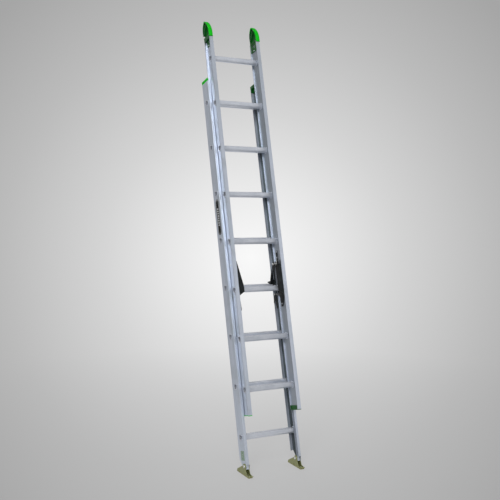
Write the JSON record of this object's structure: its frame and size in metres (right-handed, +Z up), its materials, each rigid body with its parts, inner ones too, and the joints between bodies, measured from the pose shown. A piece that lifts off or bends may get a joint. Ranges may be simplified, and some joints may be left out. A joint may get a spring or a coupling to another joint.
{
  "type": "extension ladder",
  "caption": "Two-section aluminium extension ladder at its working lean, with a sliding fly section, swinging rung locks, capped tops and tilting feet.",
  "frame": {"origin": "on the floor, midway between the two soles, straight below the line that the base rungs stand on where it meets the height of the feet", "axes": "+X across the ladder to the climber's right, +Y from the climber to the wall, +Z up; the ladder leans towards +Y"},
  "size_m": [0.398, 0.7479, 2.8221],
  "materials": {
    "rail_aluminium": "mill, lightly brushed along the rail",
    "rung_aluminium": "extruded, satin",
    "green_plastic": "satin moulded green",
    "black_plastic": "matte",
    "black_steel": "black coated steel",
    "plated_steel": "yellow zinc plated",
    "bright_steel": "bright zinc",
    "tread_rubber": "matte",
    "black_label": "printed film",
    "green_label": "printed film"
  },
  "bodies": {
    "base": {"base_rail_left": "rail_aluminium", "base_rail_right": "rail_aluminium", "base_rung_1": "rung_aluminium", "base_rung_2": "rung_aluminium", "base_rung_3": "rung_aluminium", "base_rung_4": "rung_aluminium", "base_rung_5": "rung_aluminium", "base_rung_6": "rung_aluminium", "base_rung_7": "rung_aluminium", "base_rung_8": "rung_aluminium", "base_top_plug_left": "green_plastic", "base_top_plug_right": "green_plastic", "base_stops": "black_plastic", "rail_label": "black_label", "foot_label": "green_label", "shoe_bolt_left": "bright_steel", "shoe_bolt_right": "bright_steel", "shoe_nuts": "bright_steel", "shoe_sleeves": "bright_steel"},
    "fly": {"fly_rail_left": "rail_aluminium", "fly_rail_right": "rail_aluminium", "fly_rung_1": "rung_aluminium", "fly_rung_2": "rung_aluminium", "fly_rung_3": "rung_aluminium", "fly_rung_4": "rung_aluminium", "fly_rung_5": "rung_aluminium", "fly_rung_6": "rung_aluminium", "fly_rung_7": "rung_aluminium", "fly_rung_8": "rung_aluminium", "fly_cap_left": "green_plastic", "fly_cap_right": "green_plastic", "fly_bottom_plug_left": "green_plastic", "fly_bottom_plug_right": "green_plastic", "fly_stops": "black_plastic", "cap_rivets": "rung_aluminium", "lock_rivets": "rung_aluminium", "lock_bracket_left": "black_steel", "lock_bracket_right": "black_steel", "lock_bolt_left": "bright_steel", "lock_bolt_right": "bright_steel", "lock_sleeve_left": "bright_steel", "lock_sleeve_right": "bright_steel", "lock_spring_left": "bright_steel", "lock_spring_right": "bright_steel", "finger_pin_left": "bright_steel", "finger_pin_right": "bright_steel"},
    "left_lock": {"lock_hook_left": "black_steel"},
    "left_finger": {"lock_finger_left": "black_steel"},
    "left_shoe": {"shoe_left": "plated_steel", "shoe_tread_left": "tread_rubber", "tread_rivets_left": "bright_steel"},
    "right_lock": {"lock_hook_right": "black_steel"},
    "right_finger": {"lock_finger_right": "black_steel"},
    "right_shoe": {"shoe_right": "plated_steel", "shoe_tread_right": "tread_rubber", "tread_rivets_right": "bright_steel"}
  },
  "joints": [
    {"name": "fly_slide", "type": "slide", "parent": "base", "child": "fly", "axis": [0, 0.2504, 0.9681], "range_m": [-0.3048, 1.2192]},
    {"name": "left_lock_swing", "type": "hinge", "parent": "fly", "child": "left_lock", "pos_m": [-0.138, 0.25207, 1.24633], "axis": [1, 0, 0], "range_deg": [-20, 0], "stiffness_Nm_per_rad": 0.3, "springref_deg": 60.16},
    {"name": "left_finger_swing", "type": "hinge", "parent": "fly", "child": "left_finger", "pos_m": [-0.13, 0.20833, 1.05726], "axis": [1, 0, 0], "range_deg": [0, 70]},
    {"name": "left_shoe_tilt", "type": "hinge", "parent": "base", "child": "left_shoe", "pos_m": [-0.18, -0.01355, 0.05551], "axis": [1, 0, 0], "range_deg": [-15, 55]},
    {"name": "right_lock_swing", "type": "hinge", "parent": "fly", "child": "right_lock", "pos_m": [0.138, 0.25207, 1.24633], "axis": [1, 0, 0], "range_deg": [-20, 0], "stiffness_Nm_per_rad": 0.3, "springref_deg": 60.16},
    {"name": "right_finger_swing", "type": "hinge", "parent": "fly", "child": "right_finger", "pos_m": [0.13, 0.20833, 1.05726], "axis": [1, 0, 0], "range_deg": [0, 70]},
    {"name": "right_shoe_tilt", "type": "hinge", "parent": "base", "child": "right_shoe", "pos_m": [0.18, -0.01355, 0.05551], "axis": [1, 0, 0], "range_deg": [-15, 55]}
  ]
}
